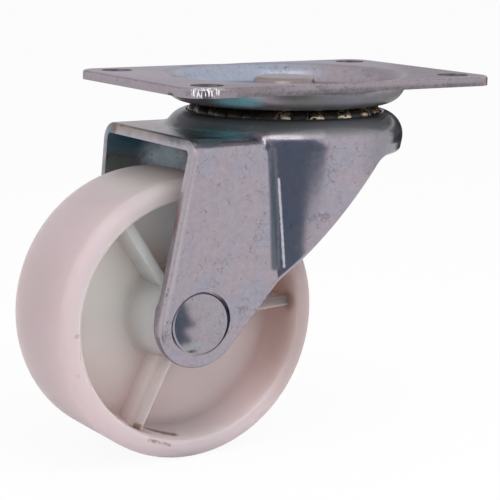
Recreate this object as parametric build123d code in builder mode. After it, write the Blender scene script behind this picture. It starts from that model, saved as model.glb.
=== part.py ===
# Swivel castor: a pressed top plate, a one-piece drawn fork that swivels on two
# rows of balls round a riveted king pin, and a moulded nylon wheel on a riveted axle.
# All sizes are in millimetres. The origin is the centre of the plate's top face, on
# the swivel axis. Z is up and the wheel trails towards -X.

import os
from math import acos, asin, atan2, cos, degrees, hypot, pi, radians, sin, tan

from build123d import *

os.makedirs("parts", exist_ok=True)

# Wheel
wheel_diameter = 75.0
wheel_width = 32.0
tread_shoulder = 3.0
rim_thickness = 4.6  # at the wheel's side face
rim_chamfer = 0.6
rim_draft = 1.5  # how much the rim thickens down to the web
web_half = 3.0  # from the mid-plane to the web's face
hub_proud = 0.5  # how far the hub stands out of the wheel's side, each side
hub_wall = 4.44
hub_draft = 1.9  # how much the hub thickens down to the web
wheel_root_fillet = 1.5
rib_count = 3  # on each side, those of one side between those of the other
rib_angle = 3.0  # the first rib on the near side, measured up from +X
rib_thickness = 3.4
rib_draft = 2.0
rib_below_face = 4.0

# Axle rivet and sleeve
axle_diameter = 10.0
axle_fit = 0.05
axle_head_over = 3.25  # how far the head reaches past the shank
axle_head_thickness = 2.2
axle_head_crown = 0.9  # how much lower the head is at its rim
axle_head_chamfer = 0.4
axle_tail_over = 2.5
axle_tail_thickness = 2.4
axle_tail_round = 1.4
sleeve_wall = 1.45
sleeve_fit = 0.06
hub_gap = 0.3  # each side, between hub and fork

# Top plate
plate_length = 94.0
plate_width = 67.0
plate_sheet = 2.5
plate_corner = 6.0
plate_edge_round = 0.7
bolt_edge = 8.5  # from the plate's edges to a bolt hole's centre
bolt_hole = 8.5
dish_depth = 5.1  # how far the dish's floor is pressed down
dish_past_row = 3.8  # from the row of balls to the end of the dish's floor
dish_corner = 6.0  # radius under the dish's corner
dish_rim = 1.2  # radius under the flat where the wall leaves it

# Upper row of balls, between the plate's dish and the fork's head
upper_ball = 6.35
upper_row_radius = 23.5
upper_ball_gap = 1.8  # free space between neighbours, for grease
upper_start = -82.5  # the first ball's angle
upper_groove = 0.3  # how deep the row sits in the dish's floor
race_clearance = 0.08

# King pin and spacer
pin_diameter = 12.0
pin_fit = 0.05
pin_head_over = 3.35  # how far the head's base reaches past the shank
pin_head_slope = 1.35  # how much narrower the head is at its top
pin_head_below_plate = 1.0  # the head stays under the plate's top face
pin_head_round = 1.2
pin_tail_over = 2.0
pin_tail_height = 2.6
pin_tail_round = 1.4
spacer_wall = 2.45
fork_hole_clearance = 1.0

# Lower row of balls, under the fork's web, and the cup that carries it
lower_ball = 4.762
lower_row_inset = 5.5  # from the fork's hole to the row
lower_ball_gap = 0.4
lower_groove = 0.8  # how deep the row sits in the web and in the cup
cup_past_row = 4.0
cup_sheet = 2.4
cup_lip = 1.5
cup_lip_gap = 0.9

# Fork
fork_sheet = 2.8
seat_sheet = 2.0  # sheet left under the axle rivet's head
seat_press = 1.25  # how deep the seat is pressed in
seat_gap = 0.5  # ring round the rivet's head
seat_pad_spare = 0.3  # the flat inside reaches past the leg's round end
leg_end_margin = 3.45  # round the seat
bend_radius = 4.2  # outside radius between web and leg
web_past_axle = 5.0  # how far the web's front edge reaches past the axle
wheel_gap = 8.39  # between web and wheel
trail = 37.0  # from the swivel axis back to the axle
head_past_row = 9.8  # from the row of balls to the head's outside, at the web's level
head_taper = 11.0  # degrees that the skirt leans inwards
head_shoulder = 6.5  # outside radius over the ball race
head_rise = 4.0  # the race's crest above the web
leg_inset = 7.3  # the legs' outer faces inside the head's, at the web's level
race_lip = 0.6
crease_radius = 3.0  # where the head grows out of web and legs
cut_edge_round = 1.0  # outer edges of the cut sheet
skirt_drop = 6.69  # from the web's top to the skirt's lower edge at the back
skirt_back = 13.0  # where that edge turns down towards the axle
skirt_turn = 6.0

# Levels, measured down from the plate's top face
dish_floor = -dish_depth
dish_under = dish_floor - plate_sheet
upper_race = upper_ball / 2 + race_clearance
upper_level = dish_under + upper_groove - upper_race
web_top = upper_level - upper_race
web_under = web_top - fork_sheet
crest = web_top + head_rise
lower_race = lower_ball / 2 + race_clearance
lower_level = web_under + lower_groove - lower_race
cup_top = lower_level - lower_race + lower_groove
cup_under = cup_top - cup_sheet
axle_level = web_under - wheel_gap - wheel_diameter / 2
axle_centre = (-trail, 0, axle_level)
axle_plane = Plane(origin=axle_centre, x_dir=(0, 1, 0), z_dir=(1, 0, 0))
axle_axis = Axis(axle_centre, (0, 1, 0))

# Radii round the swivel axis
pin_radius = pin_diameter / 2
pin_hole = pin_radius + pin_fit
spacer_radius = pin_hole + spacer_wall
fork_hole = spacer_radius + fork_hole_clearance
lower_row_radius = fork_hole + lower_row_inset
cup_radius = lower_row_radius + cup_past_row
dish_floor_radius = upper_row_radius + dish_past_row
head_radius = upper_row_radius + head_past_row
upper_count = int(2 * pi * upper_row_radius / (upper_ball + upper_ball_gap))
lower_count = int(2 * pi * lower_row_radius / (lower_ball + lower_ball_gap))

# Radii round the axle
axle_radius = axle_diameter / 2
axle_hole = axle_radius + axle_fit
axle_head = axle_radius + axle_head_over
axle_tail = axle_radius + axle_tail_over
seat_radius = axle_head + seat_gap
leg_end_radius = seat_radius + leg_end_margin
seat_pad_radius = leg_end_radius + seat_pad_spare
sleeve_radius = axle_hole + sleeve_wall
wheel_bore = sleeve_radius + sleeve_fit
hub_radius = wheel_bore + hub_wall
rim_inner_radius = wheel_diameter / 2 - rim_thickness

# How far down the drawn blank reaches, before its side outline is cut
blank_under = axle_level - 2 * leg_end_radius

# Sideways places, measured from the mid-plane
half_width = wheel_width / 2
hub_face = half_width + hub_proud
seat_pad = hub_face + hub_gap
seat_face = seat_pad + seat_sheet
leg_face = seat_face + seat_press
leg_at_web = head_radius - leg_inset
leg_lean = atan2(leg_at_web - leg_face, web_top - axle_level)


# Top plate: a pressed sheet whose round dish carries the upper race
def dish_profile(depth_offset, corner, rim):
    """Outline of the dish between its floor and the flat, from the axis outwards."""
    drop = dish_depth
    swing = degrees(pi / 2 - asin(1 - drop / (corner + rim)))
    turn = radians(swing)
    corner_centre = (dish_floor_radius, dish_floor + depth_offset + corner)
    rim_centre = (
        dish_floor_radius + (corner + rim) * sin(turn),
        depth_offset - rim,
    )
    return swing, corner_centre, rim_centre


def dish_sheet(depth_offset, corner, rim):
    """The closed region above the dish's surface, up to well over the plate."""
    swing, corner_centre, rim_centre = dish_profile(depth_offset, corner, rim)
    top = plate_length
    with BuildSketch() as region:
        with BuildLine():
            floor_line = Line(
                (0, dish_floor + depth_offset),
                (dish_floor_radius, dish_floor + depth_offset),
            )
            CenterArc(corner_centre, corner, -90, swing)
            upper = CenterArc(rim_centre, rim, 90, swing)
            flat = Line(upper @ 0, (plate_length, depth_offset))
            Polyline(flat @ 1, (plate_length, top), (0, top), floor_line @ 0)
        make_face()
    return region.sketch


with BuildPart() as top_plate:
    with BuildSketch(Plane.XY.offset(dish_under - upper_ball)):
        RectangleRounded(plate_length, plate_width, plate_corner)
    extrude(amount=-dish_under + upper_ball)
    fillet(top_plate.edges().group_by(Axis.Z)[-1], plate_edge_round)
    with BuildSketch(Plane.XZ):
        add(dish_sheet(-plate_sheet, dish_corner, dish_rim))
    revolve(axis=Axis.Z, mode=Mode.INTERSECT)
    with BuildSketch(Plane.XZ):
        add(dish_sheet(0, dish_corner - plate_sheet, dish_rim + plate_sheet))
    revolve(axis=Axis.Z, mode=Mode.SUBTRACT)
    with BuildSketch(Plane.XZ):
        with Locations((upper_row_radius, upper_level)):
            Circle(upper_race)
    revolve(axis=Axis.Z, mode=Mode.SUBTRACT)
    with Locations((0, 0, 0)):
        Hole(pin_hole)
    with GridLocations(plate_length - 2 * bolt_edge, plate_width - 2 * bolt_edge, 2, 2):
        Hole(bolt_hole / 2)

top_plate.part.label = "top_plate"
export_step(top_plate.part, "parts/top_plate.step")


# Fork: one sheet, drawn into a round head with two splayed legs
def leg_half_width(level, thickness):
    """Half the width across the legs at a level, less a thickness of sheet."""
    return leg_face + (level - axle_level) * tan(leg_lean) - thickness / cos(leg_lean)


def head_half_width(level, thickness):
    """The head's radius at a level, less a thickness of sheet."""
    lean = radians(head_taper)
    return head_radius + (level - web_top) * tan(lean) - thickness / cos(lean)


def channel_section(thickness):
    """Cross-section through web and legs, filled in, less a thickness of sheet."""
    top = web_top - thickness
    with BuildSketch() as section:
        with BuildLine():
            Polyline(
                (-leg_half_width(blank_under, thickness), blank_under),
                (-leg_half_width(top, thickness), top),
                (leg_half_width(top, thickness), top),
                (leg_half_width(blank_under, thickness), blank_under),
                close=True,
            )
        make_face()
        upper = section.vertices().group_by(Axis.Y)[-1]
        fillet(upper, bend_radius - thickness)
    return section.sketch


def head_section(thickness):
    """Half-section of the round head, filled in, less a thickness of sheet."""
    top = crest - thickness
    race = upper_race + thickness
    with BuildSketch() as section:
        with BuildLine():
            Polyline(
                (0, blank_under),
                (head_half_width(blank_under, thickness), blank_under),
                (head_half_width(top, thickness), top),
                (0, top),
                close=True,
            )
        make_face()
        shoulder = section.vertices().sort_by(Axis.X)[-1]
        fillet(shoulder, head_shoulder - thickness)
        with Locations((upper_row_radius, upper_level)):
            Circle(race, mode=Mode.SUBTRACT)
        with BuildLine():
            Polyline(
                (0, web_top - thickness),
                (upper_row_radius, web_top - thickness),
                (upper_row_radius, upper_level),
                (upper_row_radius + race, upper_level),
                (upper_row_radius + race, 0),
                (0, 0),
                close=True,
            )
        make_face(mode=Mode.SUBTRACT)
    return section.sketch


def crease_edges(body):
    """The edges where the head meets the web and the legs."""
    found = []
    for edge in body.edges():
        middle = edge @ 0.5
        from_head = abs(hypot(middle.X, middle.Y) - head_half_width(middle.Z, 0))
        from_leg = abs(abs(middle.Y) - leg_half_width(middle.Z, 0))
        on_web = abs(middle.Z - web_top) < crease_radius
        if from_head < fork_sheet / 2 and (on_web or from_leg < fork_sheet) and middle.X < 0:
            found.append(edge)
    return found


def cut_edges(body):
    """The outer edges that the side outline leaves on legs and skirt."""
    outline = side_outline.wire()
    found = []
    for edge in body.edges():
        middle = edge @ 0.5
        runs_across = edge.geom_type == GeomType.LINE and abs((edge % 0.5).Y) > 0.999
        seen_from_side = Vertex(middle.X, middle.Z, 0)
        if not runs_across and outline.distance_to(seen_from_side) < 0.001:
            found.append(edge)
    return found


def filled_fork(thickness):
    """The fork as a solid block, its faces drawn in by a thickness of sheet."""
    with BuildPart() as body:
        with BuildSketch(Plane.YZ.offset(blank_front)):
            add(channel_section(thickness))
        extrude(amount=-channel_reach - blank_front)
        with BuildSketch(Plane.XZ):
            add(head_section(thickness))
        revolve(axis=Axis.Z)
    return body.part


def tangent_point(corner, side):
    """Where the edge from a corner of the side outline touches the leg's round end."""
    across = corner[0] - axle_centre[0]
    up = corner[1] - axle_level
    turn = atan2(up, across) + side * acos(leg_end_radius / hypot(across, up))
    return (
        axle_centre[0] + leg_end_radius * cos(turn),
        axle_level + leg_end_radius * sin(turn),
    )


# The channel stops inside the head, short of the swivel axis
channel_reach = head_radius / 10
web_front = -trail - web_past_axle
blank_front = web_front - 2 * leg_end_radius
front_corner = (web_front, web_top)
back_corner = (skirt_back, web_top - skirt_drop)

# What the side outline keeps: web edge, two legs tangent to their round ends, skirt
with BuildPart() as side_cut:
    with BuildSketch(Plane.XZ.offset(-plate_width)) as side_outline:
        with BuildLine():
            top_edge = Line((plate_length, 0), (web_front, 0))
            web_edge = Line(top_edge @ 1, front_corner)
            front_edge = Line(web_edge @ 1, tangent_point(front_corner, 1))
            leg_end = tangent_point(back_corner, -1)
            end = TangentArc(front_edge @ 1, leg_end, tangent=front_edge % 1)
            Polyline(end @ 1, back_corner, (plate_length, back_corner[1]), top_edge @ 0)
        make_face()
        turn_down = side_outline.vertices().sort_by_distance(back_corner + (0,))[0]
        fillet(turn_down, skirt_turn)
    extrude(amount=2 * plate_width)

with BuildPart() as fork_inside:
    add(filled_fork(fork_sheet))
    # A flat pad on each leg's inner face takes the end of the axle's sleeve
    with BuildSketch(Plane.XZ.offset(-plate_width)):
        with Locations((-trail, axle_level)):
            Circle(seat_pad_radius)
    extrude(amount=2 * plate_width, mode=Mode.SUBTRACT)
    with BuildSketch(Plane.XZ.offset(-seat_pad)):
        with Locations((-trail, axle_level)):
            Circle(seat_pad_radius)
    extrude(amount=2 * seat_pad)

with BuildPart() as fork:
    add(filled_fork(0))
    add(side_cut.part, mode=Mode.INTERSECT)
    fillet(crease_edges(fork), crease_radius)
    fillet(cut_edges(fork), cut_edge_round)
    add(fork_inside.part, mode=Mode.SUBTRACT)
    # Flat seats pressed round the axle, and the axle's holes
    for side in (-1, 1):
        seat = Plane(origin=(-trail, side * seat_face, axle_level), z_dir=(0, side, 0))
        with BuildSketch(seat):
            Circle(seat_radius)
        extrude(amount=fork_sheet, mode=Mode.SUBTRACT)
    with BuildSketch(Plane.XZ.offset(-plate_width)):
        with Locations((-trail, axle_level)):
            Circle(axle_hole)
    extrude(amount=2 * plate_width, mode=Mode.SUBTRACT)
    # The king pin's hole, and the lower race under the web
    with Locations((0, 0, 0)):
        Hole(fork_hole)
    with BuildSketch(Plane.XZ):
        with Locations((lower_row_radius, lower_level)):
            Circle(lower_race)
    revolve(axis=Axis.Z, mode=Mode.SUBTRACT)
    # The upper race's lip is rounded over
    crest_edges = fork.edges().filter_by(GeomType.CIRCLE).group_by(Axis.Z)[-1]
    fillet(crest_edges.sort_by(SortBy.RADIUS)[0], race_lip)

fork.part.label = "fork"
export_step(fork.part, "parts/fork.step")


# King pin: its head sits in the dish and its tail is spread under the lower cup
with BuildPart() as king_pin:
    with BuildSketch(Plane.XZ):
        with BuildLine():
            Polyline(
                (0, -pin_head_below_plate),
                (pin_radius + pin_head_over - pin_head_slope, -pin_head_below_plate),
                (pin_radius + pin_head_over, dish_floor),
                (pin_radius, dish_floor),
                (pin_radius, cup_under),
                (pin_radius + pin_tail_over, cup_under),
                (pin_radius + pin_tail_over, cup_under - pin_tail_height),
                (0, cup_under - pin_tail_height),
                close=True,
            )
        make_face()
    revolve(axis=Axis.Z)
    fillet(king_pin.edges().group_by(Axis.Z)[-1], pin_head_round)
    fillet(king_pin.edges().group_by(Axis.Z)[0], pin_tail_round)

king_pin.part.label = "king_pin"
export_step(king_pin.part, "parts/king_pin.step")

# Spacer: holds plate and lower cup apart, inside the fork's hole
with BuildPart() as spacer:
    with BuildSketch(Plane.XY.offset(cup_top)):
        Circle(spacer_radius)
        Circle(pin_hole, mode=Mode.SUBTRACT)
    extrude(amount=dish_under - cup_top)

spacer.part.label = "spacer"
export_step(spacer.part, "parts/spacer.step")

# Lower cup: a pressed ring with a turned-up rim, under the lower row of balls
with BuildPart() as lower_cup:
    with BuildSketch(Plane.XZ):
        with BuildLine():
            Polyline(
                (pin_hole, cup_under),
                (cup_radius, cup_under),
                (cup_radius, web_under - cup_lip_gap),
                (cup_radius - cup_lip, web_under - cup_lip_gap),
                (cup_radius - cup_lip, cup_top),
                (pin_hole, cup_top),
                close=True,
            )
        make_face()
        with Locations((lower_row_radius, lower_level)):
            Circle(lower_race, mode=Mode.SUBTRACT)
    revolve(axis=Axis.Z)
    outer_rim = lower_cup.edges().group_by(Axis.Z)[0].sort_by(SortBy.RADIUS)[-1]
    fillet(outer_rim, cup_lip)

lower_cup.part.label = "lower_cup"
export_step(lower_cup.part, "parts/lower_cup.step")


# Balls: one part each, evenly spaced round the swivel axis
for index in range(upper_count):
    angle = radians(index * 360 / upper_count + upper_start)
    with BuildPart() as upper_one:
        with Locations((upper_row_radius * cos(angle), upper_row_radius * sin(angle), upper_level)):
            Sphere(upper_ball / 2)
    upper_one.part.label = f"upper_ball_{index + 1:02d}"
    export_step(upper_one.part, f"parts/upper_ball_{index + 1:02d}.step")

for index in range(lower_count):
    angle = radians(index * 360 / lower_count)
    with BuildPart() as lower_one:
        with Locations((lower_row_radius * cos(angle), lower_row_radius * sin(angle), lower_level)):
            Sphere(lower_ball / 2)
    lower_one.part.label = f"lower_ball_{index + 1:02d}"
    export_step(lower_one.part, f"parts/lower_ball_{index + 1:02d}.step")


# Axle rivet: crowned head on one side, spread tail on the other
head_top = seat_face + axle_head_thickness
head_rim = head_top - axle_head_crown
with BuildPart() as axle_rivet:
    with BuildSketch(axle_plane):
        with BuildLine():
            crown_end = (-head_rim, axle_head - axle_head_chamfer)
            crown = TangentArc((-head_top, 0), crown_end, tangent=(0, 1))
            Polyline(
                crown_end,
                (-head_rim + axle_head_chamfer, axle_head),
                (-seat_face, axle_head),
                (-seat_face, axle_radius),
                (seat_face, axle_radius),
                (seat_face, axle_tail),
                (seat_face + axle_tail_thickness, axle_tail),
                (seat_face + axle_tail_thickness, 0),
                crown @ 0,
            )
        make_face()
    revolve(axis=axle_axis)
    fillet(axle_rivet.edges().group_by(Axis.Y)[-1], axle_tail_round)

axle_rivet.part.label = "axle_rivet"
export_step(axle_rivet.part, "parts/axle_rivet.step")

# Sleeve: the tube between the legs that the wheel turns on
with BuildPart() as axle_sleeve:
    with BuildSketch(Plane(origin=(-trail, seat_pad, axle_level), z_dir=(0, -1, 0))):
        Circle(sleeve_radius)
        Circle(axle_hole, mode=Mode.SUBTRACT)
    extrude(amount=2 * seat_pad)

axle_sleeve.part.label = "axle_sleeve"
export_step(axle_sleeve.part, "parts/axle_sleeve.step")


# Wheel: one moulding with hub, web, rim and ribs on both sides
rib_crest = half_width - rib_below_face
rib_half_crest = rib_thickness / 2 - rib_crest * tan(radians(rib_draft))
rib_root = (wheel_bore + hub_radius) / 2
hub_root = (web_half, hub_radius + hub_draft)
rim_root = (web_half, rim_inner_radius - rim_chamfer - rim_draft)


def wheel_section():
    """Section through hub, web and rim, with its two halves mirrored."""
    with BuildSketch() as section:
        with BuildLine():
            Polyline(
                (0, wheel_bore),
                (hub_face, wheel_bore),
                (hub_face, hub_radius),
                hub_root,
                rim_root,
                (half_width - rim_chamfer, rim_inner_radius - rim_chamfer),
                (half_width, rim_inner_radius),
                (half_width, wheel_diameter / 2),
                (0, wheel_diameter / 2),
                close=True,
            )
        make_face()
        corners = section.vertices()
        roots = [corners.sort_by_distance(spot + (0,))[0] for spot in (hub_root, rim_root)]
        fillet(roots, wheel_root_fillet)
        tread_edge = section.vertices().group_by(Axis.Y)[-1].sort_by(Axis.X)[-1]
        fillet(tread_edge, tread_shoulder)
        mirror(about=Plane.YZ)
    return section.sketch


def rib_section(side):
    """Section across one rib, from the web's middle to the rib's crest."""
    with BuildSketch() as section:
        with BuildLine():
            Polyline(
                (0, rib_thickness / 2),
                (side * rib_crest, rib_half_crest),
                (side * rib_crest, -rib_half_crest),
                (0, -rib_thickness / 2),
                close=True,
            )
        make_face()
    return section.sketch


with BuildPart() as wheel:
    with BuildSketch(axle_plane):
        add(wheel_section())
    revolve(axis=axle_axis)
    for index in range(2 * rib_count):
        angle = radians(index * 180 / rib_count + rib_angle)
        outwards = Vector(cos(angle), 0, sin(angle))
        start = Vector(*axle_centre) + outwards * rib_root
        with BuildSketch(Plane(origin=start, x_dir=(0, 1, 0), z_dir=outwards)):
            add(rib_section(-1 if index % 2 == 0 else 1))
        extrude(amount=rim_inner_radius - rib_root)

wheel.part.label = "wheel"
export_step(wheel.part, "parts/wheel.step")
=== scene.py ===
import math

import bpy
import numpy as np
from mathutils import Matrix, Vector


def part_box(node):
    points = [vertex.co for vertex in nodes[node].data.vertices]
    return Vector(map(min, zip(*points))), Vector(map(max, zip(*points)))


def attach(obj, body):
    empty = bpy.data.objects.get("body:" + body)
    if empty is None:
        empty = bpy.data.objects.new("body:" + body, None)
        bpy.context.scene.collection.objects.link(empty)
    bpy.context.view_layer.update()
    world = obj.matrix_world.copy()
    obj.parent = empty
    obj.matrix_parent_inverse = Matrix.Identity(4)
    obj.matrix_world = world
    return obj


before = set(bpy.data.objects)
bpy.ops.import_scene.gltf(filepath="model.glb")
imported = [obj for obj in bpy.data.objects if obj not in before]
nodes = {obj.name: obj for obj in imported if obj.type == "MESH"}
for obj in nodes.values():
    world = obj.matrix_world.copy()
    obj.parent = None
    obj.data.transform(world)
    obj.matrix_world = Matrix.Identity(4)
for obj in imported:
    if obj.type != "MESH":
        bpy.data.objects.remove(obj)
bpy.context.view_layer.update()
mm = 0.001
print("stage: frame loaded,", len(nodes), "CAD nodes")


def boxOf(name):
    # a node's lowest and highest corners, in mm
    low, high = (np.array(corner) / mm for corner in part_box(name))
    return low, high


# where the wheel sits, read from the frame
wheelLow, wheelHigh = boxOf("wheel")
axle = (wheelLow + wheelHigh) / 2
floorLevel = wheelLow[2]


# camera, fitted to the plate's corners, the bolt holes and the wheel's ellipses
camera = {
    "aim": (-37.2, 0.0, -62.5),   # mm, the axle's middle as the fit found it
    "azimuth": -31.1,             # degrees, 0 looks along +Y
    "elevation": 10.51,
    "roll": 0.65,
    "distance": 480.6,            # mm back from the aim
    "slide": (23.22, 15.99),      # mm right and up of the aim
    "lens": 128.44,               # mm
    "sensor": 36.0,               # mm
    "clip": (0.01, 20.0),         # m
}


def placeCamera(opt):
    # "back" points from the aim to the camera, and roll turns "right" and "up" about it
    azimuth, elevation, roll = (math.radians(opt[key]) for key in ("azimuth", "elevation", "roll"))
    back = Vector((math.sin(azimuth) * math.cos(elevation),
                   -math.cos(azimuth) * math.cos(elevation),
                   math.sin(elevation)))
    flatRight = Vector((math.cos(azimuth), math.sin(azimuth), 0.0))
    flatUp = back.cross(flatRight)
    right = flatRight * math.cos(roll) + flatUp * math.sin(roll)
    up = flatUp * math.cos(roll) - flatRight * math.sin(roll)
    slideRight, slideUp = opt["slide"]
    spot = Vector(opt["aim"]) + right * slideRight + up * slideUp + back * opt["distance"]
    data = bpy.data.cameras.new("camera")
    data.sensor_width = opt["sensor"]
    data.lens = opt["lens"]
    data.clip_start, data.clip_end = opt["clip"]
    cam = bpy.data.objects.new("camera", data)
    turn = Matrix((right, up, back)).transposed()
    cam.matrix_world = Matrix.Translation(spot * mm) @ turn.to_4x4()
    bpy.context.scene.collection.objects.link(cam)
    bpy.context.scene.camera = cam


placeCamera(camera)
bpy.context.scene.view_settings.view_transform = "Standard"
print("stage: camera placed")


# small tools for shader trees
def put(tree, kind, sockets=None, **settings):
    # one node; a socket takes a plain value or another node's output
    node = tree.nodes.new("ShaderNode" + kind)
    for key, value in settings.items():
        setattr(node, key, value)
    for key, value in (sockets or {}).items():
        if isinstance(value, bpy.types.NodeSocket):
            tree.links.new(value, node.inputs[key])
        else:
            node.inputs[key].default_value = value
    return node


def calc(tree, operation, first, second=0.0, clamp=False):
    return put(tree, "Math", {0: first, 1: second}, operation=operation, use_clamp=clamp).outputs[0]


def vectorCalc(tree, operation, first, second=(0.0, 0.0, 0.0)):
    return put(tree, "VectorMath", {0: first, 1: second}, operation=operation).outputs["Vector"]


def measure(tree, operation, first, second=(0.0, 0.0, 0.0)):
    # one number from vectors: a length, a distance or a dot product
    return put(tree, "VectorMath", {0: first, 1: second}, operation=operation).outputs["Value"]


def scaled(tree, vector, factor):
    sockets = {0: vector, "Scale": factor}
    return put(tree, "VectorMath", sockets, operation="SCALE").outputs["Vector"]


def noise(tree, place, scale, detail=4.0, output="Fac"):
    sockets = {"Vector": place, "Scale": scale, "Detail": detail}
    return put(tree, "TexNoise", sockets).outputs[output]


def ramp(tree, value, start, end, low=0.0, high=1.0):
    # smooth step from low at start to high at end
    feeds = {"Value": value, "From Min": start, "From Max": end, "To Min": low, "To Max": high}
    return put(tree, "MapRange", feeds, interpolation_type="SMOOTHSTEP").outputs[0]


def fade(tree, share, softness):
    # 1 where share is small, falling smoothly to 0 round share = 1
    inner = calc(tree, "SUBTRACT", 1.0, softness)
    outer = calc(tree, "ADD", 1.0, softness)
    return ramp(tree, share, inner, outer, 1.0, 0.0)


def lay(tree, amount, under, over):
    # the colour "over" laid on "under" by amount; a colour Mix takes them at sockets 6 and 7
    under = under if isinstance(under, bpy.types.NodeSocket) else (*under, 1.0)
    over = over if isinstance(over, bpy.types.NodeSocket) else (*over, 1.0)
    return put(tree, "Mix", {0: amount, 6: under, 7: over}, data_type="RGBA").outputs[2]


def newGroup(name, inputs, outputs):
    group = bpy.data.node_groups.new(name, "ShaderNodeTree")
    for label, kind, start in inputs:
        socketType = "NodeSocket" + kind
        socket = group.interface.new_socket(label, in_out="INPUT", socket_type=socketType)
        if start is not None:
            socket.default_value = start
    for label, kind in outputs:
        group.interface.new_socket(label, in_out="OUTPUT", socket_type="NodeSocket" + kind)
    given = group.nodes.new("NodeGroupInput").outputs
    result = group.nodes.new("NodeGroupOutput").inputs
    return group, given, result


# effects that several materials share; every place in them is in mm
edgeGrain = 1.5   # waves per mm in the ragged edge of a ring or a stroke


def shifted(tree, place, amount, scale):
    # place + 2 amount (noise - 0.5), which leaves a ragged edge on what is drawn with it
    wave = vectorCalc(tree, "SUBTRACT", noise(tree, place, scale, output="Color"), (0.5, 0.5, 0.5))
    return vectorCalc(tree, "ADD", place, scaled(tree, wave, calc(tree, "MULTIPLY", amount, 2.0)))


def makeSoftSpot():
    # 1 where |(place - middle) / reach| is small, falling smoothly to 0 round 1
    group, given, result = newGroup("softSpot", [
        ("Place", "Vector", None), ("Middle", "Vector", None), ("Reach", "Vector", None),
        ("Softness", "Float", 0.5), ("Ragged", "Float", 0.5), ("Grain", "Float", 1.5),
    ], [("Mask", "Float")])
    place = shifted(group, given["Place"], given["Ragged"], given["Grain"])
    away = vectorCalc(group, "SUBTRACT", place, given["Middle"])
    share = measure(group, "LENGTH", vectorCalc(group, "DIVIDE", away, given["Reach"]))
    group.links.new(fade(group, share, given["Softness"]), result["Mask"])
    return group


def makeRingBand():
    # 1 near a ring round the Z axis, by the distance to it in the (radius, z) section
    group, given, result = newGroup("ringBand", [
        ("Place", "Vector", None), ("Radius", "Float", 10.0), ("Height", "Float", 0.0),
        ("Width", "Float", 1.0), ("Softness", "Float", 0.5), ("Ragged", "Float", 0.5),
    ], [("Mask", "Float")])
    place = shifted(group, given["Place"], given["Ragged"], edgeGrain)
    radius = measure(group, "LENGTH", vectorCalc(group, "MULTIPLY", place, (1.0, 1.0, 0.0)))
    level = put(group, "SeparateXYZ", {0: place}).outputs["Z"]
    across = calc(group, "SUBTRACT", radius, given["Radius"])
    up = calc(group, "SUBTRACT", level, given["Height"])
    section = put(group, "CombineXYZ", {"X": across, "Y": up}).outputs[0]
    share = calc(group, "DIVIDE", measure(group, "LENGTH", section), given["Width"])
    group.links.new(fade(group, share, given["Softness"]), result["Mask"])
    return group


def makeStroke():
    # 1 near the straight line from Start to End. With away = place - Start and
    # along = End - Start, t = clamp(away . along / |along|^2) and the gap is |away - t along|.
    # Where a noise is low, the line is broken away by the share Broken.
    crumbScale, wholeFrom, goneFrom = 0.9, 0.58, 0.44
    group, given, result = newGroup("stroke", [
        ("Place", "Vector", None), ("Start", "Vector", None), ("End", "Vector", None),
        ("Width", "Float", 0.5), ("Softness", "Float", 0.5), ("Ragged", "Float", 0.3),
        ("Broken", "Float", 0.0),
    ], [("Mask", "Float")])
    place = shifted(group, given["Place"], given["Ragged"], edgeGrain)
    along = vectorCalc(group, "SUBTRACT", given["End"], given["Start"])
    away = vectorCalc(group, "SUBTRACT", place, given["Start"])
    top = measure(group, "DOT_PRODUCT", away, along)
    under = measure(group, "DOT_PRODUCT", along, along)
    t = calc(group, "DIVIDE", top, under, clamp=True)
    gap = measure(group, "DISTANCE", away, scaled(group, along, t))
    mask = fade(group, calc(group, "DIVIDE", gap, given["Width"]), given["Softness"])
    crumbs = ramp(group, noise(group, given["Place"], crumbScale, 3.0), wholeFrom, goneFrom)
    kept = calc(group, "SUBTRACT", 1.0, calc(group, "MULTIPLY", crumbs, given["Broken"]))
    group.links.new(calc(group, "MULTIPLY", mask, kept), result["Mask"])
    return group


def makeHairlines():
    # thin broken lines: borders of noise-warped cells, kept where a broad noise is above
    # 0.8 - 0.6 Share
    warpScale, broadScale, keptEdge = 2.3, 0.8, 0.06
    group, given, result = newGroup("hairlines", [
        ("Place", "Vector", None), ("Scale", "Float", 0.2), ("Width", "Float", 0.03),
        ("Share", "Float", 0.5),
    ], [("Mask", "Float")])
    cells = scaled(group, given["Place"], given["Scale"])
    warped = vectorCalc(group, "ADD", cells, noise(group, cells, warpScale, 3.0, "Color"))
    borders = put(group, "TexVoronoi", {"Vector": warped, "Scale": 1.0}, feature="DISTANCE_TO_EDGE")
    line = ramp(group, borders.outputs["Distance"], 0.0, given["Width"], 1.0, 0.0)
    start = calc(group, "SUBTRACT", 0.8, calc(group, "MULTIPLY", given["Share"], 0.6))
    end = calc(group, "ADD", start, keptEdge)
    kept = ramp(group, noise(group, cells, broadScale, 2.0), start, end)
    group.links.new(calc(group, "MULTIPLY", line, kept), result["Mask"])
    return group


def makeSpecks():
    # round dots of random size up to Size, one in each kept cell
    dotCore = 0.6   # share of a dot's radius that is wholly covered
    group, given, result = newGroup("specks", [
        ("Place", "Vector", None), ("Scale", "Float", 0.5), ("Size", "Float", 0.2),
        ("Share", "Float", 0.3),
    ], [("Mask", "Float")])
    cells = scaled(group, given["Place"], given["Scale"])
    cell = put(group, "TexVoronoi", {"Vector": cells, "Scale": 1.0})
    chance = put(group, "SeparateColor", {0: cell.outputs["Color"]})
    radius = calc(group, "MULTIPLY", given["Size"], chance.outputs["Red"])
    core = calc(group, "MULTIPLY", radius, dotCore)
    dot = ramp(group, cell.outputs["Distance"], core, radius, 1.0, 0.0)
    kept = calc(group, "LESS_THAN", chance.outputs["Green"], given["Share"])
    group.links.new(calc(group, "MULTIPLY", dot, kept), result["Mask"])
    return group


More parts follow.
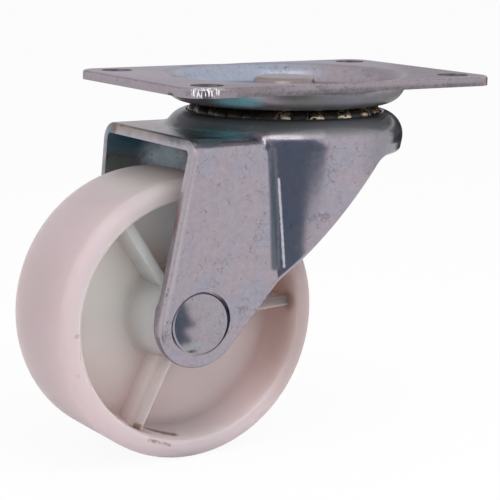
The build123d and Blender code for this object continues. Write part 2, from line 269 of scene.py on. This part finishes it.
def makeMottle():
    # Mask is a cloudy noise from 0 to 1, and Value is 1 + (Mask - 0.5) Contrast
    cloudLow, cloudHigh = 0.3, 0.7
    group, given, result = newGroup("mottle", [
        ("Place", "Vector", None), ("Scale", "Float", 0.2), ("Contrast", "Float", 0.2),
    ], [("Value", "Float"), ("Mask", "Float")])
    clouds = ramp(group, noise(group, given["Place"], given["Scale"]), cloudLow, cloudHigh)
    swing = calc(group, "MULTIPLY", calc(group, "SUBTRACT", clouds, 0.5), given["Contrast"])
    group.links.new(calc(group, "ADD", 1.0, swing), result["Value"])
    group.links.new(clouds, result["Mask"])
    return group


softSpot = makeSoftSpot()
ringBand = makeRingBand()
stroke = makeStroke()
hairlines = makeHairlines()
specks = makeSpecks()
mottle = makeMottle()


def use(tree, group, **feeds):
    # one copy of a group; place= feeds its "Place" and so on
    sockets = {key[0].upper() + key[1:]: value for key, value in feeds.items()}
    return put(tree, "Group", sockets, node_tree=group).outputs


def newMaterial(name, roughness, metallic):
    mat = bpy.data.materials.new(name)
    mat.use_nodes = True
    shader = mat.node_tree.nodes["Principled BSDF"]
    shader.inputs["Roughness"].default_value = roughness
    shader.inputs["Metallic"].default_value = metallic
    return mat, mat.node_tree, shader


def placeInMm(tree):
    return scaled(tree, put(tree, "TexCoord").outputs["Object"], 1.0 / mm)


def addBump(tree, shader, height, strength, depth):
    # depth in mm
    bump = put(tree, "Bump", {"Strength": strength, "Distance": depth * mm, "Height": height})
    tree.links.new(bump.outputs[0], shader.inputs["Normal"])


def dress(nodeNames, mat):
    for name in nodeNames:
        data = nodes[name].data
        data.materials.clear()
        data.materials.append(mat)


# what all zinc plating has in common; scales are per mm
zinc = {
    "clouds": {"scale": 0.11, "contrast": 0.2},      # where the cool colour lies on the warm
    "coolShare": 0.55,
    "meanShare": 0.45,                               # of the mean colour, laid on both
    "spangle": {"scale": 0.7, "contrast": 0.10},
    "grain": {"scale": 3.5, "contrast": 0.10},
    "longLines": {"scale": 0.13, "width": 0.018, "share": 0.52},
    "shortLines": {"scale": 0.34, "width": 0.036, "share": 0.38},
    "dots": {"scale": 0.55, "size": 0.22, "share": 0.3},
    "markColor": (0.15, 0.13, 0.14),                 # of hairlines and dots
    "bumpDepth": 0.04,                               # mm
    "metallic": 0.95,
    "hidden": 0.9,                                   # how much less metallic a full cover makes it, of dirt and painted light alike
    "tintEdge": {"softness": 0.6, "ragged": 1.3, "grain": 0.35},
    "dirtEdge": {"softness": 0.5, "ragged": 0.5, "grain": 1.6},
    "scuffEdge": {"softness": 0.35, "ragged": 0.5, "grain": 1.6},
    "ringEdge": {"softness": 0.45, "ragged": 0.5},
    # near-white of the bright scratches, partly a painted highlight
    "scuffAndHighlightColor": (0.95, 0.93, 0.94),
    "scuffComb": (2.6, 2.6, 0.35),                   # scratches run down, along Z
    "scuffStart": 0.5,                               # noise level where a scratch begins
    "scuffFull": 0.6,
}

# marks on each plated part, painted light and shade among them, every place in mm on the part
# colors: mean, cool, warm
# tints: (middle, reach, colour, strength, film), film being how far it hides the metal
# dirt, and on the rivet a painted reflection: (middle, reach, colour, strength)
# strokes: (start, end, width, colour, strength, share broken away)
# bright scratches, partly bare metal and partly a painted highlight on a rounded edge: (middle,
# reach)
# rings round the swivel axis: (radius, height, width, colour, strength)
plateLook = {
    "colors": ((0.325, 0.283, 0.322), (0.285, 0.285, 0.345), (0.355, 0.292, 0.315)),
    "roughness": 0.36,
    "bump": 0.25,
    "markDepth": 0.8,
    "tints": [
        # the dish's underside: a teal sheen on the left, partly the plating's tint and partly
        # painted reflection, and painted shade darkening it to nearly black on the right
        ((-28.5, -22.0, -6.0), (6.5, 8.5, 3.0), (0.18, 0.43, 0.50), 1.0, 0.8),
        ((-11.0, -29.0, -4.8), (8.0, 7.0, 2.6), (0.11, 0.115, 0.105), 0.85, 0.5),
        ((1.0, -31.0, -5.0), (9.0, 6.0, 2.6), (0.125, 0.13, 0.155), 0.85, 0.5),
        ((17.0, -26.0, -5.8), (11.0, 9.0, 2.8), (0.045, 0.048, 0.054), 1.0, 0.85),
        # the dish's blue far wall
        ((0.0, 26.0, -2.5), (26.0, 9.0, 4.0), (0.36, 0.43, 0.54), 0.7, 0.0),
        # the top, paler at the back edge and darker by the near corner
        ((-38.0, 15.0, 0.0), (9.0, 18.0, 1.5), (0.42, 0.345, 0.385), 0.8, 0.0),
        ((-30.0, -30.0, 0.0), (12.0, 6.0, 1.5), (0.20, 0.17, 0.185), 0.7, 0.0),
    ],
    "dirtAndPaintedLight": [
        ((-46.6, -21.5, -2.5), (0.9, 1.6, 0.8), (0.01, 0.008, 0.008), 1.0),
    ],
    "strokes": [
        # rust along the upper edges, and the shade low on the near edge
        ((-47.0, -27.0, -0.1), (-47.0, 29.0, -0.1), 0.28, (0.10, 0.055, 0.05), 0.8, 0.7),
        ((-42.0, -33.4, 0.0), (42.0, -33.4, 0.0), 0.30, (0.09, 0.05, 0.045), 0.8, 0.8),
        ((-34.0, -33.5, -2.4), (42.0, -33.5, -2.4), 1.00, (0.06, 0.055, 0.055), 0.8, 0.3),
    ],
    # bright scratches on the near corner, partly a painted highlight on its rounded edge
    "scuffAndHighlight": ((-43.2, -32.4, -0.9), (5.2, 2.6, 1.2)),
    "rings": [
        # a dark band low on the dish's edge, painted shade under the dish, and a black ring of
        # grease by the balls
        (28.8, -7.6, 1.9, (0.055, 0.058, 0.058), 0.75),
        (27.0, -8.1, 1.4, (0.012, 0.010, 0.008), 1.0),
    ],
}

forkLook = {
    "colors": ((0.355, 0.327, 0.378), (0.275, 0.330, 0.440), (0.410, 0.332, 0.358)),
    "roughness": 0.19,
    "bump": 0.25,
    "markDepth": 0.6,
    "tints": [
        # the web's top, olive by the far corner, and dark green by the near one, painted shade and
        # reflection under the dish
        ((-37.5, 12.0, -13.8), (7.0, 12.0, 2.0), (0.23, 0.18, 0.115), 0.85, 0.4),
        ((-38.0, -2.0, -13.8), (6.0, 7.0, 2.0), (0.20, 0.165, 0.125), 0.8, 0.3),
        ((-36.5, -14.5, -13.8), (9.0, 9.5, 2.2), (0.022, 0.045, 0.038), 0.97, 0.2),
        # teal round the head's foot: the plating's teal, with painted shade in its darker spots,
        # and a painted glint near the leg
        ((-28.0, -17.2, -13.6), (6.5, 5.6, 1.6), (0.15, 0.42, 0.48), 0.95, 0.9),
        ((-31.5, -11.0, -13.3), (4.0, 6.5, 1.3), (0.08, 0.25, 0.28), 0.85, 0.8),
        ((-33.8, -2.0, -13.4), (2.2, 6.5, 1.1), (0.09, 0.17, 0.17), 0.8, 0.6),
        ((-36.5, -23.2, -14.3), (4.0, 1.8, 1.2), (0.075, 0.125, 0.135), 0.8, 0.7),
        # a painted glint
        ((-23.7, -20.6, -12.4), (2.4, 1.8, 0.8), (0.42, 0.50, 0.55), 0.85, 0.8),
        # the far leg's inside: painted shade, dark teal under the web and grey-green lower down,
        # with a painted band of pale blue light
        ((-32.0, 21.6, -18.5), (16.0, 2.2, 5.0), (0.025, 0.13, 0.17), 0.95, 0.8),
        ((-25.0, 21.6, -24.0), (7.0, 2.2, 4.5), (0.72, 0.92, 1.0), 0.95, 0.9),
        ((-40.0, 21.6, -26.0), (6.0, 2.2, 3.0), (0.12, 0.16, 0.13), 0.8, 0.8),
        # the head's right shoulder, darkened with a painted dark reflection, and the skirt below it
        # made darker
        ((22.0, -20.0, -11.5), (11.0, 13.0, 3.0), (0.045, 0.047, 0.055), 0.9, 0.7),
        ((28.5, -14.0, -13.0), (5.0, 12.0, 5.0), (0.05, 0.052, 0.06), 0.9, 0.6),
        ((15.0, -29.0, -18.5), (9.0, 7.0, 8.0), (0.22, 0.215, 0.245), 0.7, 0.0),
    ],
    "dirtAndPaintedLight": [
        ((-42.2, 19.5, -15.2), (1.4, 1.5, 1.5), (0.11, 0.05, 0.035), 0.8),
        ((-42.0, 15.5, -13.7), (0.9, 1.4, 0.7), (0.13, 0.05, 0.03), 0.9),
    ],
    "strokes": [
        # beside the bend line: a painted dark reflection, a painted highlight line in it, and a
        # painted highlight along the bend above
        ((-19.2, -25.3, -17.5), (-15.8, -22.1, -49.0), 1.10, (0.045, 0.062, 0.085), 0.9, 0.0),
        ((-17.4, -25.8, -25.0), (-13.4, -22.7, -49.0), 0.34, (0.55, 0.55, 0.59), 0.9, 0.1),
        ((-19.0, -25.8, -13.3), (-8.0, -31.0, -12.9), 1.30, (0.80, 0.76, 0.80), 0.45, 0.2),
        # rust along the web's front edge
        ((-42.1, -22.0, -13.9), (-42.1, 21.0, -13.9), 0.30, (0.12, 0.06, 0.045), 0.75, 0.8),
        # the leg's dull cut edge, with rust on it
        ((-42.3, -25.2, -17.0), (-46.5, -21.7, -50.0), 1.2, (0.35, 0.315, 0.34), 0.9, 0.0),
        ((-46.5, -21.7, -50.0), (-49.0, -18.9, -64.0), 1.2, (0.35, 0.315, 0.34), 0.9, 0.0),
        ((-42.6, -25.5, -18.0), (-46.9, -21.8, -50.0), 0.26, (0.09, 0.065, 0.065), 0.8, 0.9),
        ((-46.9, -21.8, -50.0), (-49.1, -18.6, -62.0), 0.26, (0.09, 0.065, 0.065), 0.8, 0.9),
        # a painted dark reflection as a line under the web's bend, and rust along the skirt's
        # slanting edge
        ((-41.0, -24.6, -15.6), (-22.0, -24.8, -15.2), 0.50, (0.03, 0.05, 0.055), 0.7, 0.3),
        ((-17.5, -20.8, -57.0), (9.0, -30.5, -30.0), 0.35, (0.12, 0.08, 0.08), 0.6, 0.9),
    ],
    "scuffAndHighlight": None,
    "rings": [
        # a black ring of grease by the balls, and a dark band over the head's top, painted shade
        # and dark reflection
        (27.2, -10.0, 1.5, (0.012, 0.010, 0.008), 1.0),
        (30.0, -11.0, 3.4, (0.05, 0.06, 0.064), 0.85),
    ],
}

pinLook = {
    "colors": ((0.26, 0.215, 0.22), (0.26, 0.235, 0.26), (0.28, 0.22, 0.21)),
    "roughness": 0.30,
    "bump": 0.25,
    "markDepth": 0.5,
    "tints": [], "dirtAndPaintedLight": [], "strokes": [], "scuffAndHighlight": None,
    "rings": [
        (9.2, -5.3, 1.2, (0.012, 0.010, 0.008), 1.0),
        (8.3, -0.5, 0.7, (0.10, 0.065, 0.055), 0.65),
    ],
}

rivetLook = {
    "colors": ((0.345, 0.31, 0.355), (0.30, 0.325, 0.39), (0.36, 0.31, 0.33)),
    "roughness": 0.17,
    "bump": 0.08,
    "markDepth": 0.5,
    # painted reflection on the rivet's head: a bluish patch here, and a dark crescent low on its
    # left in the next line
    "tints": [((-39.5, -21.2, -69.0), (3.0, 1.0, 2.0), (0.28, 0.36, 0.42), 0.6, 0.0)],
    "dirtAndPaintedLight": [((-40.0, -20.6, -69.6), (1.6, 0.8, 0.5), (0.02, 0.015, 0.015), 0.9)],
    "strokes": [], "scuffAndHighlight": None, "rings": [],
}


def makeZincPlating(opt):
    # clouded zinc: base colour, a shade to multiply it by, hairlines and dots, roughness, height
    group, given, result = newGroup("zincPlating", [
        ("Place", "Vector", None), ("Color", "Color", (0.4, 0.4, 0.4, 1)),
        ("Cool", "Color", (0.4, 0.4, 0.4, 1)), ("Warm", "Color", (0.4, 0.4, 0.4, 1)),
        ("Roughness", "Float", 0.3),
    ], [("Color", "Color"), ("Shade", "Float"), ("Marks", "Float"), ("Roughness", "Float"),
        ("Height", "Float")])
    place = given["Place"]
    clouds = use(group, mottle, place=place, **opt["clouds"])["Mask"]
    coolness = calc(group, "MULTIPLY", clouds, opt["coolShare"])
    color = lay(group, coolness, given["Warm"], given["Cool"])
    color = lay(group, opt["meanShare"], color, given["Color"])
    spangle = use(group, mottle, place=place, **opt["spangle"])["Value"]
    grain = use(group, mottle, place=place, **opt["grain"])["Value"]
    longLines = use(group, hairlines, place=place, **opt["longLines"])["Mask"]
    shortLines = use(group, hairlines, place=place, **opt["shortLines"])["Mask"]
    lines = calc(group, "MAXIMUM", longLines, shortLines)
    dots = use(group, specks, place=place, **opt["dots"])["Mask"]
    height = calc(group, "SUBTRACT", calc(group, "MULTIPLY", grain, 0.5), lines)
    group.links.new(color, result["Color"])
    group.links.new(calc(group, "MULTIPLY", spangle, grain), result["Shade"])
    group.links.new(calc(group, "MAXIMUM", lines, dots), result["Marks"])
    group.links.new(calc(group, "MULTIPLY", spangle, given["Roughness"]), result["Roughness"])
    group.links.new(height, result["Height"])
    return group


zincPlating = makeZincPlating(zinc)


def zincMaterial(name, look):
    mat, tree, shader = newMaterial(name, look["roughness"], zinc["metallic"])
    place = placeInMm(tree)
    mean, cool, warm = ((*color, 1) for color in look["colors"])
    plating = use(tree, zincPlating, place=place, roughness=look["roughness"],
                  color=mean, cool=cool, warm=warm)
    color, dirtAndPaintedLight = plating["Color"], 0.0

    def cover(mask, strength, tint, film=1.0):
        # lays a tint on the colour so far and adds what it hides of the metal to the share covered
        # by dirt and painted light
        nonlocal color, dirtAndPaintedLight
        amount = calc(tree, "MULTIPLY", mask, strength)
        color = lay(tree, amount, color, tint)
        dirtAndPaintedLight = calc(tree, "MAXIMUM", dirtAndPaintedLight, calc(tree, "MULTIPLY", amount, film))

    for middle, reach, tint, strength, film in look["tints"]:
        spot = use(tree, softSpot, place=place, middle=middle, reach=reach, **zinc["tintEdge"])
        cover(spot["Mask"], strength, tint, film)
    color = scaled(tree, color, plating["Shade"])
    marks = calc(tree, "MULTIPLY", plating["Marks"], look["markDepth"])
    color = lay(tree, marks, color, zinc["markColor"])
    for middle, reach, tint, strength in look["dirtAndPaintedLight"]:
        spot = use(tree, softSpot, place=place, middle=middle, reach=reach, **zinc["dirtEdge"])
        cover(spot["Mask"], strength, tint)
    for start, end, width, tint, strength, broken in look["strokes"]:
        line = use(tree, stroke, place=place, start=start, end=end, width=width, broken=broken)
        cover(line["Mask"], strength, tint)
    # bright scratches, partly a painted highlight on a rounded edge
    if look["scuffAndHighlight"]:
        middle, reach = look["scuffAndHighlight"]
        comb = vectorCalc(tree, "MULTIPLY", place, zinc["scuffComb"])
        scratchesAndHighlight = ramp(tree, noise(tree, comb, 1.0, 2.0), zinc["scuffStart"], zinc["scuffFull"])
        spot = use(tree, softSpot, place=place, middle=middle, reach=reach, **zinc["scuffEdge"])
        cover(calc(tree, "MULTIPLY", scratchesAndHighlight, spot["Mask"]), 1.0, zinc["scuffAndHighlightColor"])
    for radius, height, width, tint, strength in look["rings"]:
        ring = use(tree, ringBand, place=place, radius=radius, height=height, width=width,
                   **zinc["ringEdge"])
        cover(ring["Mask"], strength, tint)
    tree.links.new(color, shader.inputs["Base Color"])
    hidden = calc(tree, "MULTIPLY", dirtAndPaintedLight, zinc["hidden"])
    metallic = calc(tree, "SUBTRACT", zinc["metallic"], hidden)
    tree.links.new(metallic, shader.inputs["Metallic"])
    tree.links.new(plating["Roughness"], shader.inputs["Roughness"])
    addBump(tree, shader, plating["Height"], look["bump"], zinc["bumpDepth"])
    return mat


dress(["top_plate"], zincMaterial("zincPlate", plateLook))
dress(["fork"], zincMaterial("zincFork", forkLook))
dress(["king_pin", "spacer", "lower_cup"], zincMaterial("zincPin", pinLook))
dress(["axle_rivet", "axle_sleeve"], zincMaterial("zincRivet", rivetLook))
print("stage: zinc plated parts dressed")


# natural nylon wheel, cloudy and slightly see-through; stains and strokes as on the zinc, with
# painted light and shade among them
nylonLook = {
    "color": (0.50, 0.413, 0.447),
    "warm": (0.49, 0.413, 0.42),
    "warmShare": 0.5,
    "clouds": {"scale": 0.05, "contrast": 0.06},
    "depth": 28.0,                            # mm that light travels inside
    "depthByColor": (1.0, 0.8, 0.7),          # red, green and blue, times depth
    "roughness": 0.45,
    "specular": 0.3,
    # painted light: paler between hub and rim, against the shade in the recess; reach round the
    # axle, colour
    "inside": ((32.0, 90.0, 32.0), (0.53, 0.455, 0.46)),
    "insideSoftness": 0.12,
    # paler and greyer there on the left, painted light in the fork's shadow: middle, reach, colour
    "greyed": ((-46.0, 0.0, -50.0), (26.0, 60.0, 24.0), (0.60, 0.58, 0.56)),
    "greyedSoftness": 0.6,
    "stainEdge": {"softness": 0.6, "ragged": 0.45, "grain": 1.3},
    "stainsAndPaintedLight": [
        # painted light on the tread under the web and in the pocket by the leg, and painted shade
        # on the wheel's right side
        ((-40.0, 0.0, -27.0), (15.0, 17.0, 4.5), (0.62, 0.58, 0.55), 0.7),
        ((-40.0, -4.0, -37.0), (9.0, 6.0, 7.5), (0.80, 0.84, 0.85), 0.9),
        ((-2.0, -16.0, -62.0), (13.0, 12.0, 30.0), (0.29, 0.245, 0.245), 0.8),
        # dots on the rim
        ((-70.6, -16.0, -62.9), (0.7, 0.7, 0.5), (0.30, 0.20, 0.19), 0.6),
        ((-70.4, -16.0, -73.4), (0.6, 0.7, 0.6), (0.38, 0.28, 0.27), 0.35),
        ((-48.5, -16.0, -93.6), (0.7, 0.7, 0.4), (0.25, 0.15, 0.12), 0.5),
        ((-9.9, -16.0, -86.9), (0.5, 0.6, 0.4), (0.32, 0.22, 0.20), 0.5),
    ],
    "strokes": [
        # two ribs that hardly show, their lit tops darkened with painted shade
        ((-42.4, -12.0, -73.2), (-50.6, -12.0, -89.2), 2.6, (0.30, 0.26, 0.265), 0.8, 0.0),
        ((-25.0, -12.0, -61.9), (-5.0, -12.0, -60.9), 2.6, (0.16, 0.135, 0.135), 0.8, 0.0),
        # the stain at the foot
        ((-53.5, -12.0, -89.2), (-47.6, -12.0, -91.9), 0.80, (0.10, 0.045, 0.025), 0.95, 0.2),
        ((-46.5, -8.0, -93.4), (-40.3, -11.2, -94.8), 1.30, (0.14, 0.07, 0.04), 0.95, 0.2),
        ((-50.0, -16.0, -93.0), (-44.0, -16.0, -95.2), 0.40, (0.20, 0.11, 0.07), 0.8, 0.6),
        # grime round the rim's left edge
        ((-65.3, -16.0, -46.0), (-69.3, -16.0, -57.0), 0.28, (0.40, 0.29, 0.25), 0.6, 1.0),
        ((-69.3, -16.0, -57.0), (-69.6, -16.0, -69.0), 0.28, (0.40, 0.29, 0.25), 0.6, 1.0),
        ((-69.6, -16.0, -69.0), (-65.5, -16.0, -79.5), 0.28, (0.40, 0.29, 0.25), 0.5, 1.0),
    ],
    "dots": {"scale": 0.16, "size": 0.07, "share": 0.25},
    "dotColor": (0.35, 0.22, 0.18),
    "dotStrength": 0.35,
    # faint rings left by the mould and by rolling
    "ringScale": 1.5,
    "ringBump": 0.3,
    "ringDepth": 0.08,                        # mm
}


def nylonMaterial(name, look):
    mat, tree, shader = newMaterial(name, look["roughness"], 0.0)
    place = placeInMm(tree)
    clouds = use(tree, mottle, place=place, **look["clouds"])["Mask"]
    warmth = calc(tree, "MULTIPLY", clouds, look["warmShare"])
    color = lay(tree, warmth, look["color"], look["warm"])
    # painted light in the recess, and more in the fork's shadow on the left
    reach, tint = look["inside"]
    inside = use(tree, softSpot, place=place, middle=tuple(axle), reach=reach,
                 softness=look["insideSoftness"], ragged=0.0)
    color = lay(tree, inside["Mask"], color, tint)
    middle, reach, tint = look["greyed"]
    grey = use(tree, softSpot, place=place, middle=middle, reach=reach,
               softness=look["greyedSoftness"], ragged=0.0)
    color = lay(tree, calc(tree, "MULTIPLY", inside["Mask"], grey["Mask"]), color, tint)
    # stains, with painted light and shade among them
    for middle, reach, tint, strength in look["stainsAndPaintedLight"]:
        spot = use(tree, softSpot, place=place, middle=middle, reach=reach, **look["stainEdge"])
        color = lay(tree, calc(tree, "MULTIPLY", spot["Mask"], strength), color, tint)
    for start, end, width, tint, strength, broken in look["strokes"]:
        line = use(tree, stroke, place=place, start=start, end=end, width=width, broken=broken)
        color = lay(tree, calc(tree, "MULTIPLY", line["Mask"], strength), color, tint)
    dots = use(tree, specks, place=place, **look["dots"])["Mask"]
    dots = calc(tree, "MULTIPLY", dots, look["dotStrength"])
    tree.links.new(lay(tree, dots, color, look["dotColor"]), shader.inputs["Base Color"])
    shader.inputs["Subsurface Weight"].default_value = 1.0
    shader.inputs["Subsurface Radius"].default_value = look["depthByColor"]
    shader.inputs["Subsurface Scale"].default_value = look["depth"] * mm
    shader.inputs["Specular IOR Level"].default_value = look["specular"]
    # the rings are a noise of the distance from the axle
    away = vectorCalc(tree, "SUBTRACT", place, tuple(axle))
    radius = measure(tree, "LENGTH", vectorCalc(tree, "MULTIPLY", away, (1.0, 0.0, 1.0)))
    radiusOnly = put(tree, "CombineXYZ", {"X": radius}).outputs[0]
    rings = noise(tree, radiusOnly, look["ringScale"], 3.0)
    addBump(tree, shader, rings, look["ringBump"], look["ringDepth"])
    return mat


dress(["wheel"], nylonMaterial("nylon", nylonLook))
print("stage: wheel dressed")


# balls under a brown film, smeared with the dark grease they run in
ballLook = {
    "steel": (0.62, 0.52, 0.40),
    "film": (0.16, 0.09, 0.04),
    "filmClouds": {"scale": 0.45, "contrast": 0.4},
    "roughness": 0.22,
    "metallic": 0.9,
    "blotScale": 0.8,
    "blotStart": 0.5,                         # noise level where a grease blot begins
    "blotFull": 0.58,
    "smearMiddle": (-24.0, -8.0, -10.5),      # where the grease hides the balls wholly
    "smearReach": (17.0, 17.0, 6.0),
    "smearSoftness": 0.3,
    "smearHides": 0.8,                        # how much less metallic the smear makes them
}

greaseLook = {
    "color": (0.010, 0.008, 0.007),
    "brown": (0.05, 0.03, 0.015),
    "brownShare": 0.3,
    "clouds": {"scale": 0.9, "contrast": 0.5},
    "roughness": 0.35,
    "bump": 0.5,
    "bumpDepth": 0.2,                         # mm
}


def ballMaterial(name, look):
    mat, tree, shader = newMaterial(name, look["roughness"], look["metallic"])
    place = placeInMm(tree)
    clouds = use(tree, mottle, place=place, **look["filmClouds"])["Mask"]
    color = lay(tree, clouds, look["steel"], look["film"])
    blots = ramp(tree, noise(tree, place, look["blotScale"]), look["blotStart"], look["blotFull"])
    color = lay(tree, blots, color, greaseLook["color"])
    smear = use(tree, softSpot, place=place, middle=look["smearMiddle"],
                reach=look["smearReach"], softness=look["smearSoftness"])["Mask"]
    color = lay(tree, smear, color, greaseLook["color"])
    tree.links.new(color, shader.inputs["Base Color"])
    hidden = calc(tree, "MULTIPLY", smear, look["smearHides"])
    metallic = calc(tree, "SUBTRACT", look["metallic"], hidden)
    tree.links.new(metallic, shader.inputs["Metallic"])
    return mat


def greaseMaterial(name, look):
    mat, tree, shader = newMaterial(name, look["roughness"], 0.0)
    clouds = use(tree, mottle, place=placeInMm(tree), **look["clouds"])
    brown = calc(tree, "MULTIPLY", clouds["Mask"], look["brownShare"])
    color = lay(tree, brown, look["color"], look["brown"])
    tree.links.new(color, shader.inputs["Base Color"])
    addBump(tree, shader, clouds["Value"], look["bump"], look["bumpDepth"])
    return mat


def meshObject(name, points, faces, mat):
    # points in mm
    data = bpy.data.meshes.new(name)
    data.from_pydata((points * mm).tolist(), [], faces.tolist())
    data.materials.append(mat)
    piece = bpy.data.objects.new(name, data)
    bpy.context.scene.collection.objects.link(piece)
    return piece


def gridFaces(rows, columns, closedRows, closedColumns):
    # four-cornered faces of a grid of rows x columns points, wrapped where it is closed
    i = np.arange(rows if closedRows else rows - 1)
    j = np.arange(columns if closedColumns else columns - 1)
    i, j = (a.ravel() for a in np.meshgrid(i, j, indexing="ij"))
    nextI, nextJ = (i + 1) % rows, (j + 1) % columns
    corners = [i * columns + j, nextI * columns + j, nextI * columns + nextJ, i * columns + nextJ]
    return np.stack(corners, axis=1)


# grease packed between the balls of each row, a ring on the row's own body
greaseBeads = {
    # balls: a ball that gives the row's radius and level
    # across, up: half sizes of the section in mm; lumps: how much it swells, as a share
    "upperGrease": {"balls": "upper_ball_01", "body": "upper_balls",
                    "across": 2.1, "up": 2.55, "lumps": 0.16},
    "lowerGrease": {"balls": "lower_ball_01", "body": "lower_balls",
                    "across": 1.5, "up": 1.7, "lumps": 0.10},
}
beadColumns, beadRows = 216, 24   # points round the ring and round its section


def greaseBead(opt):
    # at turn u the section is an oval, radius + across s cos v and level + up min(s, 1) sin v,
    # where s = 1 + lumps times the mean of three weighted waves along the ring
    low, high = boxOf(opt["balls"])
    middle = (low + high) / 2
    rowRadius, level = math.hypot(middle[0], middle[1]), middle[2]
    u, v = np.meshgrid(np.linspace(0, 2 * np.pi, beadColumns, endpoint=False),
                       np.linspace(0, 2 * np.pi, beadRows, endpoint=False), indexing="ij")
    first, second, third = 1.0, 0.7, 0.6
    waves = (first * np.sin(11 * u + 1.0) + second * np.sin(23 * u + 2 * v)
             + third * np.sin(37 * u - v + 0.5)) / (first + second + third)
    swell = 1 + opt["lumps"] * waves
    radius = rowRadius + opt["across"] * swell * np.cos(v)
    height = level + opt["up"] * np.sin(v) * np.minimum(swell, 1.0)
    points = np.stack([radius * np.cos(u), radius * np.sin(u), height], axis=-1)
    return points.reshape(-1, 3), gridFaces(beadColumns, beadRows, True, True)


dress([name for name in nodes if "_ball_" in name], ballMaterial("greasyBall", ballLook))
grease = greaseMaterial("grease", greaseLook)
for name, opt in greaseBeads.items():
    points, faces = greaseBead(opt)
    bead = meshObject(name, points, faces, grease)
    bead.data.polygons.foreach_set("use_smooth", np.ones(len(faces), dtype=bool))
    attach(bead, opt["body"])
print("stage: balls and grease dressed")


# studio: white to the eye and in reflections, soft lamps, and flags that only gloss sees
studio = {
    "ambient": 0.62,                  # what the surroundings give to matt surfaces
    "ambientColor": (1.0, 0.985, 0.98),
    "floorColor": (0.86, 0.86, 0.86),
    "floorRoughness": 0.9,
    "floorWhite": 0.93,               # how much of the floor that the eye sees is plain white
    "floorHalf": 3000.0,              # mm
    "lampAim": (-20.0, 0.0, -50.0),   # mm
    # lamps: place and size in mm, watts
    "lamps": {
        "above": ((60, -180, 420), 420, 1.5),
        "left": ((-520, -240, 160), 360, 0.6),
        "front": ((120, -620, 120), 420, 1.1),
    },
    # flags: a colour and rows of (distance, height, from azimuth, to azimuth), in mm and
    # degrees round their middle; each flag runs from row to row
    "flagMiddle": (-14.0, -22.0),
    "flagColumns": 25,
    "flags": {
        "front": ((0.13, 0.19, 0.255), (
            (55, -98, -47, -3), (118, -98, -47, -2), (150, -98, -47, 15),
            (360, -98, -47, 12), (360, 150, -47, 0))),
        "right": ((0.03, 0.035, 0.04), ((380, -98, 96, 140), (380, 60, 96, 140))),
        "back": ((0.68, 0.67, 0.72), ((500, -98, 136, 200), (500, 560, 136, 200))),
        "bright": ((2.6, 2.5, 2.5), ((420, 200, -64, -10), (420, 420, -64, -10))),
    },
}


def seenByEye(tree):
    # 1 for rays from the camera, from gloss and through glass
    path = put(tree, "LightPath")
    either = calc(tree, "MAXIMUM", path.outputs["Is Camera Ray"], path.outputs["Is Glossy Ray"])
    return calc(tree, "MAXIMUM", either, path.outputs["Is Transmission Ray"])


def makeWorld(opt):
    world = bpy.data.worlds.new("studio")
    bpy.context.scene.world = world
    world.use_nodes = True
    tree = world.node_tree
    tree.nodes.clear()
    seen = put(tree, "Background", {"Color": (1, 1, 1, 1), "Strength": 1.0})
    ambient = {"Color": (*opt["ambientColor"], 1), "Strength": opt["ambient"]}
    light = put(tree, "Background", ambient)
    mix = put(tree, "MixShader", {0: seenByEye(tree), 1: light.outputs[0], 2: seen.outputs[0]})
    put(tree, "OutputWorld", {0: mix.outputs[0]})


def makeLamps(opt):
    for name, (spot, size, power) in opt["lamps"].items():
        data = bpy.data.lights.new(name, "AREA")
        data.size = size * mm
        data.energy = power
        lamp = bpy.data.objects.new(name, data)
        lamp.visible_glossy = False       # metal mirrors only the surroundings and the flags
        lamp.location = Vector(spot) * mm
        aim = Vector(opt["lampAim"]) * mm - lamp.location
        lamp.rotation_euler = aim.to_track_quat("-Z", "Y").to_euler()
        bpy.context.scene.collection.objects.link(lamp)


def makeFloor(opt):
    mat, tree, shader = newMaterial("floorPaint", opt["floorRoughness"], 0.0)
    shader.inputs["Base Color"].default_value = (*opt["floorColor"], 1)
    white = put(tree, "Emission", {"Color": (1, 1, 1, 1), "Strength": 1.0})
    share = calc(tree, "MULTIPLY", seenByEye(tree), opt["floorWhite"])
    mix = put(tree, "MixShader", {0: share, 1: shader.outputs[0], 2: white.outputs[0]})
    tree.links.new(mix.outputs[0], tree.nodes["Material Output"].inputs["Surface"])
    half = opt["floorHalf"]
    corners = np.array([(-half, -half), (half, -half), (half, half), (-half, half)])
    points = np.column_stack([corners, np.full(4, floorLevel)])
    return meshObject("floor", points, np.array([[0, 1, 2, 3]]), mat)


def makeFlag(name, color, rows, middle, columns):
    # point (u, row): azimuth = from + u (to - from),
    # place = middle + distance (sin azimuth, -cos azimuth)
    u, row = np.meshgrid(np.linspace(0, 1, columns), np.arange(len(rows)), indexing="ij")
    distance, height, start, end = (np.array(rows, dtype=float)[row, k] for k in range(4))
    azimuth = np.radians(start + u * (end - start))
    x = middle[0] + distance * np.sin(azimuth)
    y = middle[1] - distance * np.cos(azimuth)
    points = np.stack([x, y, height], axis=-1).reshape(-1, 3)
    mat, tree, shader = newMaterial(name + "Flag", 1.0, 0.0)
    glow = put(tree, "Emission", {"Color": (*color, 1), "Strength": 1.0})
    tree.links.new(glow.outputs[0], tree.nodes["Material Output"].inputs["Surface"])
    flag = meshObject(name + "Flag", points, gridFaces(columns, len(rows), False, False), mat)
    flag.visible_camera = flag.visible_diffuse = False
    flag.visible_shadow = flag.visible_transmission = False
    return flag


makeWorld(studio)
makeLamps(studio)
makeFloor(studio)
for name, (color, rows) in studio["flags"].items():
    makeFlag(name, color, rows, studio["flagMiddle"], studio["flagColumns"])
print("stage: studio lit")
